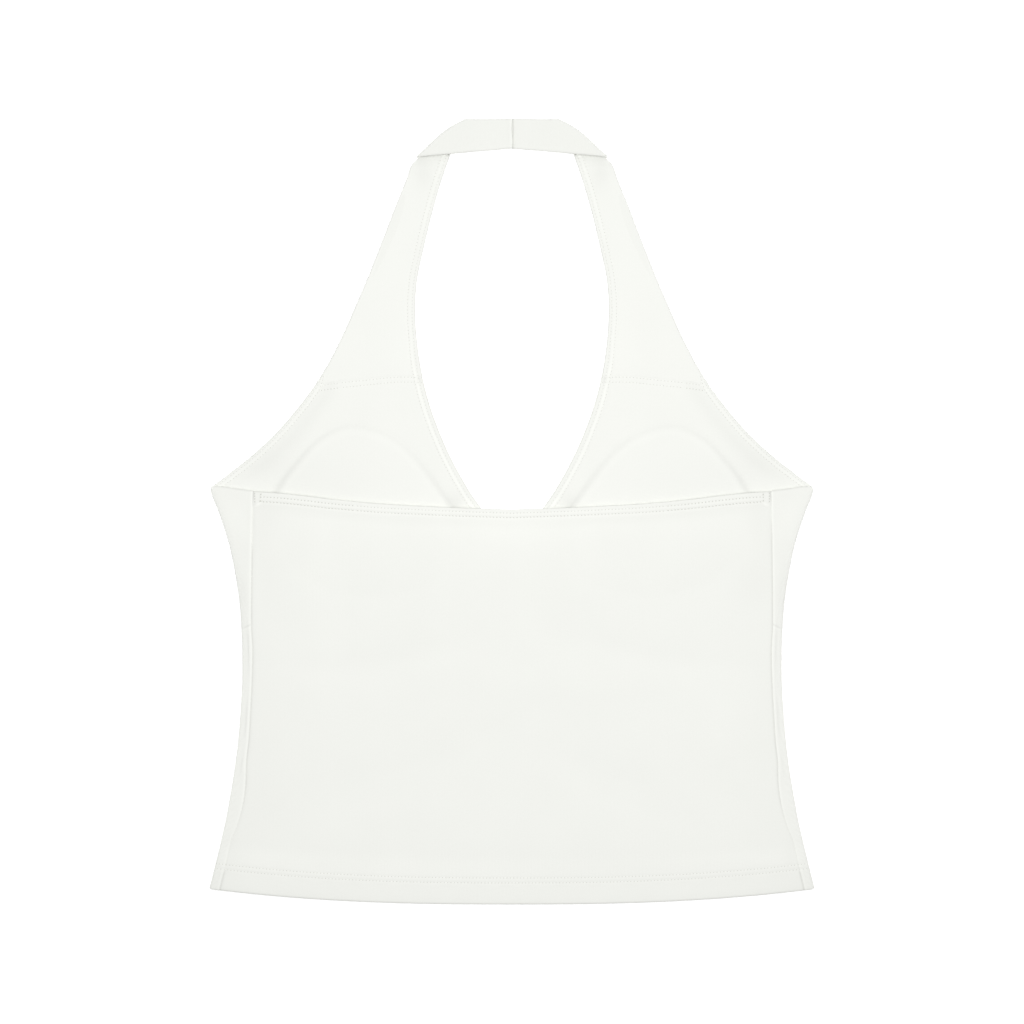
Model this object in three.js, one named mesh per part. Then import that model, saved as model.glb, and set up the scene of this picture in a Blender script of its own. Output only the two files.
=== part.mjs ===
// A halter neck top laid flat with its back upwards. Millimetres: +Y runs to the neck, +Z is up,
// z = 0 is the surface it lies on. The top is mirror-symmetric about x = 0, so every table gives
// the half with x above 0.
import * as THREE from "three";

const CLOTH = 1.0; // one layer of the knit
const GAP = 0.3; // left between any two pieces
const STRAP = 2.0; // the straps are double
const HEM = { height: 17.3, cloth: 1.5, step: 1.2 };
const TOP_HEM = { height: 7.0, cloth: 1.6, step: 1.2 };
const UNDER_BUST = -75; // the seam across the front
const SIDE_FOOT = -245.9; // where the side folds meet the hem
const UNDERARM = 16.6;
const NECK_FOOT = -12.5; // the foot of the neck opening, behind the back's top edge

// The side folds: half width of the body at each height.
const SIDE = table(["y", "half"], [
  [-245.9, 196.8],
  [-233.0, 193.7],
  [-213.5, 189.1],
  [-194.0, 184.9],
  [-155.0, 178.7],
  [-116.0, 175.5],
  [-96.5, 175.1],
  [-77.0, 175.6],
  [-57.5, 177.1],
  [-38.0, 180.1],
  [-18.5, 184.3],
  [1.0, 190.8],
  [8.8, 194.0],
  [14.0, 195.6],
  [16.6, 195.0],
]);

// The armhole edge, from the underarm up the strap to the shoulder fold.
const ARMHOLE = table(["y", "half"], [
  [16.6, 195.0],
  [23.7, 185.4],
  [33.5, 172.6],
  [43.2, 161.5],
  [53.0, 151.5],
  [72.5, 135.2],
  [92.0, 121.9],
  [111.5, 111.5],
  [131.0, 102.8],
  [150.5, 94.4],
  [170.0, 86.6],
  [189.5, 79.1],
  [209.0, 71.8],
  [218.7, 68.1],
  [229.8, 62.3],
]);

// The neckline edge, from the foot of the opening up the strap to the shoulder fold.
const NECKLINE = table(["y", "half"], [
  [-12.5, 0.0],
  [-11.9, 4.0],
  [-10.2, 8.0],
  [-7.2, 11.9],
  [-2.5, 16.1],
  [4.2, 21.3],
  [14.0, 28.0],
  [33.5, 38.9],
  [53.0, 47.6],
  [72.5, 54.4],
  [92.0, 59.0],
  [111.5, 61.8],
  [131.0, 62.9],
  [150.5, 61.7],
  [170.0, 57.7],
  [189.5, 53.1],
  [209.0, 47.8],
  [232.4, 40.1],
  [246.7, 35.0],
  [254.0, 32.0],
]);

// The side seam, on the back a little way in from the side fold.
const SIDE_SEAM = table(["y", "half"], [
  [-256.0, 191.6],
  [-245.0, 189.8],
  [-233.3, 187.0],
  [-213.8, 182.7],
  [-204.1, 178.8],
  [-191.1, 175.2],
  [-177.5, 173.2],
  [-161.2, 172.6],
  [-147.4, 171.1],
  [-109.2, 169.0],
  [-88.8, 168.6],
  [-73.9, 169.4],
  [-23.4, 169.0],
  [16.6, 168.1],
]);

const BACK_TOP = table(["x", "y"], [
  [0.0, 1.6],
  [33.8, 2.7],
  [52.0, 3.5],
  [84.5, 5.3],
  [116.4, 8.3],
  [134.6, 10.5],
  [150.8, 12.2],
  [168.2, 13.3],
]);

const FLAP_TOP = table(["x", "y"], [
  [167.3, 13.5],
  [181.4, 15.3],
  [187.0, 16.3],
  [195.0, 16.6],
]);

// The seam where the strap is joined to the bust.
const YOKE = table(["x", "y"], [
  [56.0, 88.6],
  [74.2, 89.0],
  [96.3, 86.9],
  [113.7, 85.1],
  [130.0, 82.6],
]);

// The shoulder fold in plan, from below the armhole corner to beyond the neckline corner.
const SHOULDER_FOLD = [
  { x: 68.3, y: 223.1 },
  { x: 62.3, y: 229.8 },
  { x: 55.2, y: 237.6 },
  { x: 46.8, y: 245.4 },
  { x: 40.1, y: 250.4 },
  { x: 33.5, y: 253.9 },
  { x: 24.4, y: 258.1 },
];
const CORNER_OUTER = 9.0; // length along the fold to its corner at the armhole
// Lengths along the fold where the lower and the upper layer leave it, at each edge of the strap.
const FOLD_SPAN = {
  lower: { outer: CORNER_OUTER - 8.0, inner: CORNER_OUTER + 37.4 },
  upper: { outer: CORNER_OUTER + 4.0, inner: CORNER_OUTER + 45.4 },
};
// The band over the neck: its end at the seam in the middle, and where it sinks to the surface.
const BAND = { top: 255.6, foot: 236.1, sinkFrom: 30, sinkTo: 8 };

// The cup pad: radius of its outline about its centre, every 20 degrees from +X.
const PAD = { x: 96, y: -2, rim: 0.8, crown: 3.5 };
const PAD_OUTLINE = table(["degrees", "radius"], [
  [0, 61.7],
  [20, 57.9],
  [40, 55.6],
  [60, 57.5],
  [80, 58.8],
  [100, 55.2],
  [120, 51.9],
  [140, 49.9],
  [160, 51.8],
  [180, 59.8],
  [200, 67.0],
  [220, 66.4],
  [240, 60.7],
  [260, 56.6],
  [280, 55.4],
  [300, 56.6],
  [320, 59.0],
  [340, 61.7],
  [360, 61.7],
]);
const PAD_STEP = { from: 0.6, to: 4.6 }; // how far outside the pad the lining comes down
const BACK_EASE = 18; // how far outside the pad the back starts to rise over it
const BACK_CLEAR = 0.35; // how much more the back rises than the lining

// A table with named columns as a smooth function of its first column: cubic pieces whose slope
// at each row is that of the line through the rows on either side.
function table(columns, rows) {
  const at = rows.map((row) => row[0]);
  const value = rows.map((row) => row[1]);
  const last = rows.length - 1;
  const slope = rows.map((_, i) => {
    const before = Math.max(i - 1, 0);
    const after = Math.min(i + 1, last);
    return (value[after] - value[before]) / (at[after] - at[before]);
  });
  const read = (where) => {
    const w = Math.min(Math.max(where, at[0]), at[last]);
    let i = 0;
    while (i < last - 1 && w > at[i + 1]) i += 1;
    const span = at[i + 1] - at[i];
    const t = (w - at[i]) / span;
    const rest = 1 - t;
    return (
      value[i] * (1 + 2 * t) * rest * rest +
      slope[i] * span * t * rest * rest +
      value[i + 1] * (3 - 2 * t) * t * t -
      slope[i + 1] * span * t * t * rest
    );
  };
  read.columns = columns;
  return read;
}

const mix = (a, b, t) => a + (b - a) * t;

function ease(from, to, where) {
  const t = Math.min(Math.max((where - from) / (to - from), 0), 1);
  return t * t * (3 - 2 * t);
}

function steps(count) {
  return Array.from({ length: count + 1 }, (_, i) => i / count);
}

// The hem line, lowest at the middle.
const hemLine = (x) => -255.6 + 9.7 * Math.pow(Math.abs(x) / 194.7, 2.5);

// Where a point lies in the pad: share of the way to the outline, and distance outside it.
function padPlace(x, y) {
  const dx = Math.abs(x) - PAD.x;
  const dy = y - PAD.y;
  const away = Math.hypot(dx, dy);
  const degrees = ((Math.atan2(dy, dx) * 180) / Math.PI + 360) % 360;
  const radius = PAD_OUTLINE(degrees);
  return { share: away / radius, outside: away - radius };
}

function padDome(share) {
  return PAD.rim + (PAD.crown - PAD.rim) * (1 - share * share);
}

// How far the lining is lifted by the pad under it.
function liningLift(x, y) {
  const place = padPlace(x, y);
  if (place.share < 1) return padDome(place.share) + GAP;
  return (PAD.rim + GAP) * (1 - ease(PAD_STEP.from, PAD_STEP.to, place.outside));
}

// How far the back is lifted: it rises sooner than the lining, and softly.
function backLift(x, y) {
  const place = padPlace(x, y);
  const rim = PAD.rim + GAP + BACK_CLEAR;
  if (place.share < 1) return padDome(place.share) + GAP + BACK_CLEAR;
  return rim * (1 - ease(0, BACK_EASE, place.outside + 1.5));
}

// Height above the surface of the underside of the back and of the flaps.
function backUnder(x, y) {
  const overFront = CLOTH + GAP;
  const overLining = overFront + CLOTH + GAP;
  const overHem = HEM.cloth + GAP;
  const hemTop = hemLine(x) + HEM.height;
  const inHem = 1 - ease(hemTop, hemTop + HEM.step, y);
  const body = mix(overFront, overLining, ease(-98, -77, y));
  return mix(body, overHem, inHem) + backLift(x, y);
}

function frontCloth(x, y) {
  const hemTop = hemLine(x) + HEM.height;
  return mix(HEM.cloth, CLOTH, ease(hemTop, hemTop + HEM.step, y));
}

// A piece of cloth: patches of a grid whose corners each have a point on the outer face and one on
// the inner face. Corners in the same place are one, and every free edge gets a wall.
class Piece {
  constructor() {
    this.corners = [];
    this.found = new Map();
    this.faces = [];
  }

  corner({ outer, inner }) {
    const key = [...outer, ...inner].map((n) => Math.round(n * 1e3)).join();
    if (!this.found.has(key)) {
      this.found.set(key, this.corners.length);
      this.corners.push({ outer, inner });
    }
    return this.found.get(key);
  }

  // Rows may be shorter than the one before: cells are made where both rows have their corners.
  patch(rows, mirrored) {
    const side = mirrored ? -1 : 1;
    const flip = ([x, y, z]) => [x * side, y, z];
    const ids = rows.map((row) =>
      row.map((c) => this.corner({ outer: flip(c.outer), inner: flip(c.inner) })),
    );
    for (let j = 0; j + 1 < ids.length; j += 1) {
      const count = Math.min(ids[j].length, ids[j + 1].length);
      for (let i = 0; i + 1 < count; i += 1) {
        const cell = [ids[j][i], ids[j][i + 1], ids[j + 1][i + 1], ids[j + 1][i]];
        if (mirrored) cell.reverse();
        this.face([cell[0], cell[1], cell[2]]);
        this.face([cell[0], cell[2], cell[3]]);
      }
    }
    return this;
  }

  face(three) {
    if (new Set(three).size === 3) this.faces.push(three);
  }

  both(rows) {
    return this.patch(rows, false).patch(rows, true);
  }

  mesh(name, material) {
    const positions = this.corners.flatMap((c) => [...c.outer, ...c.inner]);
    const index = [];
    const edges = new Map();
    for (const [a, b, c] of this.faces) {
      index.push(2 * a, 2 * b, 2 * c, 2 * a + 1, 2 * c + 1, 2 * b + 1);
      for (const [from, to] of [[a, b], [b, c], [c, a]]) edges.set(from + "," + to, [from, to]);
    }
    for (const [from, to] of edges.values()) {
      if (edges.has(to + "," + from)) continue;
      index.push(2 * to, 2 * from, 2 * from + 1, 2 * to, 2 * from + 1, 2 * to + 1);
    }
    if (signedVolume(positions, index) < 0) index.reverse();
    const geometry = new THREE.BufferGeometry();
    geometry.setAttribute("position", new THREE.Float32BufferAttribute(positions, 3));
    geometry.setIndex(index);
    geometry.computeVertexNormals();
    const mesh = new THREE.Mesh(geometry, material);
    mesh.name = name;
    return mesh;
  }
}

function signedVolume(positions, index) {
  const point = (i) => new THREE.Vector3().fromArray(positions, 3 * i);
  let six = 0;
  for (let i = 0; i < index.length; i += 3) {
    six += point(index[i]).dot(point(index[i + 1]).cross(point(index[i + 2])));
  }
  return six / 6;
}

// One row of the front on the half with x above 0: from its inner end along the surface, round the
// side fold and over to the side seam. Its height is rowY(x, t), where t goes from 0 to 1 along the
// surface and on to 2 round the fold.
const FOLD_STEPS = 5;
const FLAP_STEPS = 3;

function frontRow({ innerX, sideY, along, rowY, folded }) {
  const half = folded ? SIDE(sideY) : ARMHOLE(sideY);
  const edgeY = rowY(half, 1);
  const cloth = frontCloth(half, edgeY);
  const radius = (backUnder(half, edgeY) + cloth) / 2;
  const flatEnd = folded ? half - radius : half;
  const row = along.map((t) => {
    const x = mix(innerX, flatEnd, t);
    const y = rowY(x, t);
    return { outer: [x, y, 0], inner: [x, y, cloth] };
  });
  if (!folded) return row;
  const seam = SIDE_SEAM(rowY(SIDE_SEAM(sideY), 2)) + GAP / 2;
  for (const t of steps(FOLD_STEPS).slice(1)) {
    const angle = -Math.PI / 2 + t * Math.PI;
    const at = (r) => {
      const x = flatEnd + r * Math.cos(angle);
      return [x, rowY(x, 1 + t), radius + r * Math.sin(angle)];
    };
    row.push({ outer: at(radius), inner: at(radius - cloth) });
  }
  for (const t of steps(FLAP_STEPS).slice(1)) {
    const x = mix(flatEnd, seam, t);
    const y = rowY(x, 2);
    const z = backUnder(x, y);
    row.push({ outer: [x, y, z + cloth], inner: [x, y, z] });
  }
  return row;
}

// The rows of the front below the under-bust seam, as heights above the foot of the side fold.
// They follow the hem line, less and less going up.
const LOWER_TOP = UNDER_BUST - GAP / 2 - SIDE_FOOT;
const LOWER_ROWS = [0, HEM.height, HEM.height + HEM.step, 30, 42, 55, 68, 82, 98, 116, 134, 148, 155,
  162, LOWER_TOP].map((height) => {
  const sideY = SIDE_FOOT + height;
  const inHem = height <= HEM.height + HEM.step;
  const fade = inHem ? 1 : Math.pow(1 - height / LOWER_TOP, 1.2);
  const rowY = (x) => sideY + (hemLine(x) - SIDE_FOOT) * fade;
  return { innerX: 0, sideY, along: steps(6), rowY, folded: true };
});

function frontLower() {
  return new Piece().both(LOWER_ROWS.map(frontRow));
}

// The rows of the front above the seam, each with its height at the inner end and at the side.
const BUST_ROWS = [
  { inner: UNDER_BUST + GAP / 2, side: UNDER_BUST + GAP / 2 },
  { inner: -59, side: -59 },
  { inner: -43, side: -43 },
  { inner: -27, side: -27 },
  { inner: NECK_FOOT, side: NECK_FOOT },
  { inner: -11.9, side: -9 },
  { inner: -10.2, side: -5 },
  { inner: -7.2, side: -1 },
  { inner: -2.5, side: 3 },
  { inner: 4.2, side: 8 },
  { inner: 14, side: 13.4 },
  { inner: 26, side: UNDERARM },
  { inner: 37, side: 25 },
  { inner: 50, side: 39 },
  { inner: 63, side: 53 },
  { inner: 76, side: 68 },
].map(({ inner, side }) => {
  // Past the fold the row bends down to the top edge of the flap.
  const bend = ease(-30, UNDERARM, side);
  const over = (x, t) => (FLAP_TOP(x) - UNDERARM) * bend * Math.min(Math.max(t - 1, 0), 1);
  return {
    innerX: inner > NECK_FOOT ? NECKLINE(inner) : 0,
    sideY: side,
    along: steps(6),
    rowY: (x, t) => mix(inner, side, Math.min(t, 1)) + over(x, t),
    folded: side <= UNDERARM,
  };
});

function frontBust() {
  const rows = BUST_ROWS.map(frontRow);
  rows.push(yokeRow(-GAP / 2, 6, 0, CLOTH, 0));
  return new Piece().both(rows);
}

// A row of corners along the yoke seam, moved off it by some distance.
function yokeRow(off, count, bottom, top, inset) {
  const from = NECKLINE(88.7) + inset;
  const to = ARMHOLE(83.1) - inset;
  return steps(count).map((t) => {
    const x = mix(from, to, t);
    const y = YOKE(x) + off;
    return { outer: [x, y, bottom], inner: [x, y, top] };
  });
}

// The outline of half the lining, from the foot of the middle round by the neckline, the yoke, the
// armhole and the side, each point a little inside the front's edge.
function liningOutline() {
  const edge = 0.6;
  const side = 2.2;
  const bottom = UNDER_BUST + GAP / 2;
  const points = [];
  for (const y of [bottom, -58, -42, -27, NECK_FOOT - edge]) points.push([0, y]);
  for (const y of [-11.9, -10.2, -7.2, -2.5, 4.2, 14, 24, 35, 47, 60, 74]) {
    points.push([NECKLINE(y) + edge, y - edge / 2]);
  }
  for (const corner of yokeRow(-GAP / 2, 5, 0, 0, edge)) points.push(corner.outer);
  for (const y of [72, 60, 48, 37, 26, 17]) points.push([ARMHOLE(y) - edge * 1.3, y]);
  for (const y of [9, -1, -12, -24, -36, -48, -61, bottom]) points.push([SIDE(y) - side, y]);
  for (const t of steps(11).slice(1)) points.push([(SIDE(bottom) - side) * (1 - t), bottom]);
  return points.map(([x, y]) => ({ x, y }));
}

// The lining: rays from the middle of the pad, close together in rings where the pad ends.
function bustLining() {
  const inside = [0, 0.35, 0.65, 0.88, 1];
  const beyond = [PAD_STEP.from, 1.9, 3.3, PAD_STEP.to];
  const outline = liningOutline();
  const ray = ({ x, y }) => {
    const dx = x - PAD.x;
    const dy = y - PAD.y;
    const length = Math.hypot(dx, dy);
    const degrees = ((Math.atan2(dy, dx) * 180) / Math.PI + 360) % 360;
    const radius = PAD_OUTLINE(degrees);
    const rings = inside.map((share) => share * radius);
    for (const far of beyond) rings.push(radius + far);
    for (const t of [0.5, 1]) rings.push(mix(radius + PAD_STEP.to, length, t));
    return rings.map((r) => {
      const px = Math.max(PAD.x + (dx / length) * r, 0);
      const py = PAD.y + (dy / length) * r;
      const z = CLOTH + GAP + liningLift(px, py);
      return { outer: [px, py, z + CLOTH], inner: [px, py, z] };
    });
  };
  return new Piece().both(outline.map(ray));
}

// A pad: flat below, domed above.
function cupPad(side) {
  const base = CLOTH + GAP;
  const around = steps(36).map((t) => {
    const degrees = (t * 360) % 360;
    const radius = PAD_OUTLINE(degrees);
    const turn = (degrees * Math.PI) / 180;
    return [0, 0.35, 0.65, 0.88, 1].map((share) => {
      const x = PAD.x + radius * share * Math.cos(turn);
      const y = PAD.y + radius * share * Math.sin(turn);
      return { outer: [x, y, base + padDome(share)], inner: [x, y, base] };
    });
  });
  return new Piece().patch(around, side < 0);
}

// A path through points, as a function of the length along it.
function path(points) {
  const lengths = [0];
  for (let i = 1; i < points.length; i += 1) {
    const step = Math.hypot(points[i].x - points[i - 1].x, points[i].y - points[i - 1].y);
    lengths.push(lengths[i - 1] + step);
  }
  const xs = table(["length", "x"], points.map((p, i) => [lengths[i], p.x]));
  const ys = table(["length", "y"], points.map((p, i) => [lengths[i], p.y]));
  return (length) => {
    const dx = xs(length + 0.5) - xs(length - 0.5);
    const dy = ys(length + 0.5) - ys(length - 0.5);
    const norm = Math.hypot(dx, dy);
    return { x: xs(length), y: ys(length), outX: dy / norm, outY: -dx / norm };
  };
}

// A strap: up from the yoke, half a turn about the shoulder fold, and over to the middle seam.
function strap(side) {
  const count = 6;
  const across = steps(count);
  const fold = path(SHOULDER_FOLD);
  const radius = STRAP + GAP / 2;
  const turned = (share, t, angle) => {
    const length = mix(
      mix(FOLD_SPAN.lower.inner, FOLD_SPAN.lower.outer, share),
      mix(FOLD_SPAN.upper.inner, FOLD_SPAN.upper.outer, share),
      t,
    );
    const at = fold(length);
    const spot = (r) => [
      at.x + at.outX * (r * Math.cos(angle) - radius),
      at.y + at.outY * (r * Math.cos(angle) - radius),
      radius + r * Math.sin(angle),
    ];
    return { outer: spot(radius), inner: spot(radius - STRAP) };
  };
  const foot = yokeRow(GAP / 2, count, 0, STRAP, 0);
  const rows = [foot];
  const lowerEnd = across.map((share) => turned(share, 0, -Math.PI / 2));
  const innerEnd = lowerEnd[0].outer[1];
  const outerEnd = lowerEnd[count].outer[1];
  for (const t of steps(13).slice(1, 13)) {
    const innerY = mix(foot[0].outer[1], innerEnd, t);
    const outerY = mix(foot[count].outer[1], outerEnd, t);
    const bow = ease(0.75, 1, t);
    rows.push(
      across.map((share, i) => {
        const x = mix(NECKLINE(innerY), ARMHOLE(outerY), share);
        const chordX = mix(lowerEnd[0].outer[0], lowerEnd[count].outer[0], share);
        const chordY = mix(innerEnd, outerEnd, share);
        const y = mix(innerY, outerY, share) + (lowerEnd[i].outer[1] - chordY) * bow;
        const moved = x + (lowerEnd[i].outer[0] - chordX) * bow;
        return { outer: [moved, y, 0], inner: [moved, y, STRAP] };
      }),
    );
  }
  for (const t of steps(6)) {
    const angle = -Math.PI / 2 + t * Math.PI;
    rows.push(across.map((share) => turned(share, t, angle)));
  }
  const upperStart = rows[rows.length - 1];
  for (const t of steps(8).slice(1)) {
    rows.push(
      across.map((share, i) => {
        const x = mix(upperStart[i].outer[0], GAP / 2, t);
        const y = mix(upperStart[i].outer[1], mix(BAND.top, BAND.foot, share), t);
        const z = (STRAP + GAP) * ease(BAND.sinkTo, BAND.sinkFrom, x);
        return { outer: [x, y, z + STRAP], inner: [x, y, z] };
      }),
    );
  }
  return new Piece().patch(rows, side < 0);
}

// The back, thicker where it is turned in at the hem and at the top. Its rows meet the flaps' rows
// at the side seam, and keep their distance from the hem and from the top edge.
function backPanel() {
  const folded = [...LOWER_ROWS, ...BUST_ROWS].filter((row) => row.folded);
  const ends = folded.map((row) => row.rowY(SIDE_SEAM(row.sideY), 2));
  const edgeFoot = ends[0];
  const edgeTop = BACK_TOP(168.2);
  const turn = TOP_HEM.height + TOP_HEM.step;
  const seamYs = ends.filter((y) => y < edgeTop - turn - 1);
  seamYs.push(edgeTop - turn, edgeTop - TOP_HEM.height, edgeTop);
  const hem = HEM.height + HEM.step;
  const column = (share) => {
    const top = BACK_TOP(share * 168.2);
    const foot = hemLine(share * 190.2);
    return seamYs.map((seamY) => {
      const above = seamY - edgeFoot;
      const below = edgeTop - seamY;
      const t = (above - hem) / (edgeTop - turn - edgeFoot - hem);
      let y = mix(foot + hem, top - turn, t);
      if (above < hem + 0.01) y = foot + above;
      if (below < turn + 0.01) y = top - below;
      const x = share * (SIDE_SEAM(y) - GAP / 2);
      const z = backUnder(x, y);
      const cloth = below < TOP_HEM.height + 0.01 ? TOP_HEM.cloth : frontCloth(x, y);
      return { outer: [x, y, z + cloth], inner: [x, y, z] };
    });
  };
  return new Piece().both(steps(13).map(column));
}

const outerKnit = new THREE.MeshStandardMaterial({ color: 0xf3f4ee, roughness: 0.9 });
const liningKnit = new THREE.MeshStandardMaterial({ color: 0xf5f6f0, roughness: 0.9 });
const padFoam = new THREE.MeshStandardMaterial({ color: 0xf1efe8, roughness: 0.95 });

const top = new THREE.Group();
top.name = "halter_neck_top";
top.add(frontLower().mesh("front_lower", outerKnit));
top.add(frontBust().mesh("front_bust", outerKnit));
top.add(bustLining().mesh("bust_lining", liningKnit));
top.add(cupPad(-1).mesh("cup_pad_left", padFoam));
top.add(cupPad(1).mesh("cup_pad_right", padFoam));
top.add(strap(-1).mesh("strap_left", outerKnit));
top.add(strap(1).mesh("strap_right", outerKnit));
top.add(backPanel().mesh("back_panel", outerKnit));

export default top;
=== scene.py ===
"""A halter neck top in fine off-white jersey, laid flat with its back upwards.

Sizes are in millimetres in the tables and turned to metres as each mesh is shaped. +Y runs to the
neck and +Z is up, as in the frame. Tables give the half with x above 0.
"""

import contextlib
import math

import bmesh
import bpy
import numpy as np
from mathutils import Matrix, Vector


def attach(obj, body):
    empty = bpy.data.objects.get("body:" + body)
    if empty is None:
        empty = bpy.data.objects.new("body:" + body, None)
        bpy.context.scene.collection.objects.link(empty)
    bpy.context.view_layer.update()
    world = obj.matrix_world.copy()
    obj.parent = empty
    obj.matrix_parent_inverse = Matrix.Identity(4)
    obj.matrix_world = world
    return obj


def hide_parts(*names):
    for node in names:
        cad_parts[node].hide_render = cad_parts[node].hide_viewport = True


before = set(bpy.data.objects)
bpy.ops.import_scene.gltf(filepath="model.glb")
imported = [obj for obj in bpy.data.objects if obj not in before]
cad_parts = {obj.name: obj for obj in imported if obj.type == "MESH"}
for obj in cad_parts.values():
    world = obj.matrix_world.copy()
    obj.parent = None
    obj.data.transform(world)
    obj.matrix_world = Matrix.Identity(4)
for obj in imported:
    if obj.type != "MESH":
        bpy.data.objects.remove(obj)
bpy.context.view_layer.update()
bpy.ops.object.select_all(action="DESELECT")

MM = 0.001
CLOTH = 1.0  # one layer of jersey
STRAP = 2.0  # two layers, turned through
GAP = 0.3  # between layers that lie on each other
UNDER_BUST = -75.0
SIDE_FOOT = -245.0
UNDERARM = 16.6
NECK_FOOT = -12.5
HEM_HEIGHT = 17.3
HEM_CLOTH = 1.5
HEM_CORNER = 2.2  # radius of the hem's corner at each side
HEM_MIDDLE = -254.7
HEM_RISE = 9.7  # from the middle of the hem to its corner
HEM_REACH = 194.7  # half width over which it rises
WAIST_FADE = (-215, -170)  # heights between which the side seams change
HEM_FADE = (-235, -231)
HEM_BLEND = (-1, 14)  # the hem's turning thins out from here to here above its height
# from, to and step of the rows of points in the hem, above its fold
HEM_STEPS = [(0, 0.6, 0.15), (0.6, 3, 0.8), (3, 11, 1.6), (11, 20, 0.42)]
TOP_HEM_CLOTH = 1.6
BAND_WIDTH = 20.0
BAND_HEAD = 255.6  # the band's upper and lower edge at its centre seam
BAND_FOOT = 236.1
# how far the twin rows lie from the edge that they follow
HEM_ROWS = (14.0, 17.2)
TOP_ROWS = (2.4, 5.3)
TOP_DROPS = (0.8, 1.0)  # how much further down they run at the side seams
ARM_ROWS = (1.8, 4.3)
YOKE_ROWS = (1.5, 4.7)
NECK_ROWS = (2.0, 4.9)
FOLD_REACH = 4.5  # how far in from the side fold the cloth begins to turn
STITCH = 2.2  # one stitch of the twin needle
LONG_HOLE = 1.5  # needle holes longer than this are slanted, with less thread over them
WALE = 0.9  # jersey wales, drawn a little wider than the real 0.7 so that they show


def curve(table):
    """A table of (where, value) rows as a smooth function that takes arrays."""
    at, value = np.array(table, float).T
    number = np.arange(len(at))
    after = np.minimum(number + 1, len(at) - 1)
    before = np.maximum(number - 1, 0)
    slope = (value[after] - value[before]) / (at[after] - at[before])

    def read(where):
        w = np.clip(np.asarray(where, float), at[0], at[-1])
        i = np.clip(np.searchsorted(at, w, side="right") - 1, 0, len(at) - 2)
        span = at[i + 1] - at[i]
        t = (w - at[i]) / span
        rest = 1 - t
        return (
            value[i] * (1 + 2 * t) * rest**2
            + slope[i] * span * t * rest**2
            + value[i + 1] * (3 - 2 * t) * t**2
            - slope[i + 1] * span * t**2 * rest
        )

    return read


# y, half width
SIDE = curve([
    (-245.9, 196.8), (-233.0, 193.7), (-213.5, 189.1), (-194.0, 184.9), (-155.0, 178.7),
    (-116.0, 175.5), (-96.5, 175.1), (-77.0, 175.6), (-57.5, 177.1), (-38.0, 180.1),
    (-18.5, 184.3), (1.0, 190.8), (8.8, 194.0), (14.0, 195.6), (16.6, 195.0),
])
ARMHOLE = curve([
    (16.6, 195.0), (23.7, 185.4), (33.5, 172.6), (43.2, 161.5), (53.0, 151.5), (72.5, 135.2),
    (92.0, 121.9), (111.5, 111.5), (131.0, 102.8), (150.5, 94.4), (170.0, 86.6),
    (189.5, 79.1), (209.0, 71.8), (218.7, 68.4), (222.3, 67.5), (225.6, 66.0), (228.2, 63.5),
    (229.8, 62.3),
])
NECKLINE = curve([
    (-12.5, 0.0), (-11.9, 4.0), (-10.2, 8.0), (-7.2, 11.9), (-2.5, 16.1), (4.2, 21.3),
    (14.0, 28.0), (33.5, 38.9), (53.0, 47.6), (72.5, 54.4), (92.0, 59.0), (111.5, 61.8),
    (131.0, 62.9), (150.5, 61.7), (170.0, 57.7), (189.5, 53.1), (209.0, 47.8),
    (232.4, 40.1), (246.7, 35.0), (254.0, 32.0),
])
SIDE_SEAM = curve([
    (-256.0, 191.6), (-245.0, 189.8), (-233.3, 187.0), (-213.8, 182.7), (-204.1, 178.8),
    (-191.1, 175.2), (-177.5, 173.2), (-161.2, 172.6), (-147.4, 171.1), (-109.2, 169.0),
    (-88.8, 168.6), (-73.9, 169.4), (-23.4, 169.0), (16.6, 168.1),
])
# x, y
BACK_TOP = curve([
    (0.0, 1.6), (33.8, 2.7), (52.0, 3.5), (84.5, 5.3), (116.4, 8.3), (134.6, 10.5),
    (150.8, 12.2), (168.2, 13.3),
])
FLAP_TOP = curve([(167.3, 13.5), (181.4, 15.3), (187.0, 16.3), (195.0, 16.6)])
YOKE = curve([(56.0, 88.6), (74.2, 89.0), (96.3, 86.9), (113.7, 85.1), (130.0, 82.6)])
# degrees, radius about the middle of the cup pad
PAD_OUTLINE = curve([
    (0, 61.7), (20, 57.9), (40, 55.6), (60, 57.5), (80, 58.8), (100, 55.2), (120, 51.9),
    (140, 49.9), (160, 51.8), (180, 59.8), (200, 67.0), (220, 66.4), (240, 60.7),
    (260, 56.6), (280, 55.4), (300, 56.6), (320, 59.0), (340, 61.7), (360, 61.7),
])
PAD_X = 96.0
PAD_Y = -2.0
PAD_RIM = 0.8
PAD_CROWN = 2.6
PAD_INSET = 3.0  # the table follows the dark line beside the pad, this much outside it
# x, y along the shoulder fold
SHOULDER_FOLD = [
    (68.3, 223.1), (62.3, 229.8), (55.2, 237.6), (46.8, 245.4), (40.1, 250.4),
    (33.5, 253.9), (24.4, 258.1),
]
FOLD_CORNER = 9.0  # length along it to the strap's outer edge


def ease(low, high, where):
    t = np.clip((np.asarray(where, float) - low) / (high - low), 0, 1)
    return t * t * (3 - 2 * t)


def mix(a, b, t):
    return a + (b - a) * t


def groove(distance, centre, width, depth):
    """A soft trough across a distance, or a ridge where depth is below 0."""
    return -depth * np.exp(-(((distance - centre) / width) ** 2))


def hem_line(x):
    return HEM_MIDDLE + HEM_RISE * (np.abs(x) / HEM_REACH) ** 2.5


def pad_place(x, y):
    dx = np.abs(x) - PAD_X
    dy = y - PAD_Y
    away = np.hypot(dx, dy)
    radius = PAD_OUTLINE(np.degrees(np.arctan2(dy, dx)) % 360) - PAD_INSET
    return away / radius, away - radius


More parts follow.
